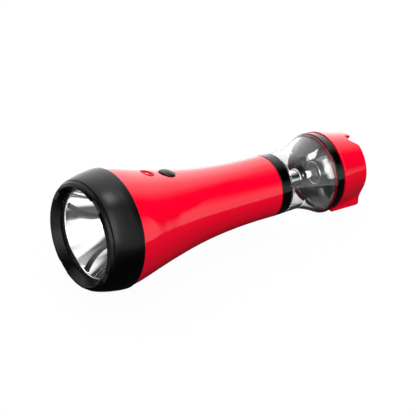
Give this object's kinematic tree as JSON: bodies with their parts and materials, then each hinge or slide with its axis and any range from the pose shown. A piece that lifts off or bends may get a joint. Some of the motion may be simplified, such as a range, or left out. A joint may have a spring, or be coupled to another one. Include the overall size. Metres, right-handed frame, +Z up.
{
  "type": "hand crank flashlight",
  "caption": "Hand torch with a flared head, top button, clear lantern globe near the tail and a crank arm that folds into its rear face.",
  "frame": {"origin": "centre of the bounding box in plan, at the ground that the bezel and the rear collar rest on", "axes": "+X from the lamp head towards the tail, +Z up through the button line, +Y completes a right-handed set; the torch's own axis falls about 4.1 degrees towards the tail as it lies"},
  "size_m": [0.2478, 0.0878, 0.0876],
  "materials": {
    "red_shell": "glossy red moulded plastic",
    "black_bezel": "satin black moulded plastic",
    "black_gloss": "glossy black moulded plastic",
    "black_button": "satin black plastic",
    "black_arm": "satin black plastic",
    "black_moulding": "matt black plastic",
    "clear_lens": "clear plastic",
    "clear_globe": "clear plastic",
    "rubber_seal": "black rubber",
    "mirror_coat": "bright metallised plastic",
    "chromed_post": "bright metallised plastic",
    "lamp_cap": "milky lamp resin",
    "signal_lens": "pink tinted clear plastic",
    "board": "green lacquered board",
    "alloy": "plain aluminium",
    "brass_part": "plain brass",
    "steel_part": "plain steel",
    "magnet": "dark sintered magnet",
    "copper_wire": "lacquered copper wire",
    "gear_nylon": "natural nylon",
    "cell_wrap": "blue shrink sleeve on a metal can"
  },
  "bodies": {
    "torch": {"bezel_ring": "black_bezel", "front_lens": "clear_lens", "lens_gasket": "rubber_seal", "head_reflector": "mirror_coat", "head_led": "lamp_cap", "head_led_board": "board", "head_heatsink": "alloy", "led_screw_1": "steel_part", "led_screw_2": "steel_part", "body_shell": "red_shell", "switch_housing": "black_moulding", "control_board": "board", "indicator_lens": "signal_lens", "indicator_led": "signal_lens", "battery_tray": "black_moulding", "battery_contact_front": "brass_part", "battery_contact_rear": "brass_part", "battery_cell": "cell_wrap", "front_collar": "black_gloss", "lantern_globe": "clear_globe", "lantern_post": "chromed_post", "lantern_led": "lamp_cap", "lantern_bowl": "mirror_coat", "rear_collar": "black_gloss", "gear_plate": "alloy", "shaft_bush": "brass_part", "generator_can": "steel_part", "generator_stator": "steel_part", "generator_coil_1": "copper_wire", "generator_coil_2": "copper_wire", "generator_coil_3": "copper_wire", "generator_coil_4": "copper_wire", "generator_coil_5": "copper_wire", "generator_coil_6": "copper_wire", "generator_cover": "steel_part", "step_pin": "steel_part", "plate_screw_1": "steel_part", "plate_screw_2": "steel_part", "plate_screw_3": "steel_part", "tail_cap": "red_shell"},
    "crank": {"crank_disc": "red_shell", "crank_shaft": "steel_part", "drive_gear": "gear_nylon", "hinge_pin": "steel_part"},
    "arm": {"crank_arm": "black_arm", "knob_rivet": "steel_part"},
    "knob": {"crank_knob": "black_moulding"},
    "step_wheel": {"step_gear": "gear_nylon"},
    "rotor": {"generator_rotor": "magnet", "generator_pinion": "brass_part"},
    "button": {"switch_button": "black_button", "switch_plunger": "brass_part"}
  },
  "joints": [
    {"name": "button_press", "type": "slide", "parent": "torch", "child": "button", "axis": [-0.2832, 0, -0.959], "range_m": [0, 0.0012], "stiffness_N_per_m": 800, "springref_m": -0.001},
    {"name": "crank_spin", "type": "hinge", "parent": "torch", "child": "crank", "pos_m": [0.11474, 0, 0.02881], "axis": [0.9975, 0, -0.0711], "continuous": true},
    {"name": "crank_fold", "type": "hinge", "parent": "crank", "child": "arm", "pos_m": [0.11946, -0.00149, 0.01907], "axis": [-0.0111, 0.9877, -0.156], "range_deg": [0, 160]},
    {"name": "knob_spin", "type": "hinge", "parent": "arm", "child": "knob", "pos_m": [0.11744, 0.002, 0.0413], "axis": [0.9975, 0, -0.0711], "continuous": true},
    {"name": "step_spin", "type": "hinge", "parent": "torch", "child": "step_wheel", "pos_m": [0.10264, -0.01236, 0.03627], "axis": [0.9975, 0, -0.0711], "continuous": true},
    {"name": "rotor_spin", "type": "hinge", "parent": "torch", "child": "rotor", "pos_m": [0.10317, -0.0022, 0.0437], "axis": [0.9975, 0, -0.0711], "continuous": true}
  ],
  "couplings": [
    {"joint": "step_spin", "follows": "crank_spin", "ratio": -3},
    {"joint": "rotor_spin", "follows": "crank_spin", "ratio": 7.8}
  ]
}
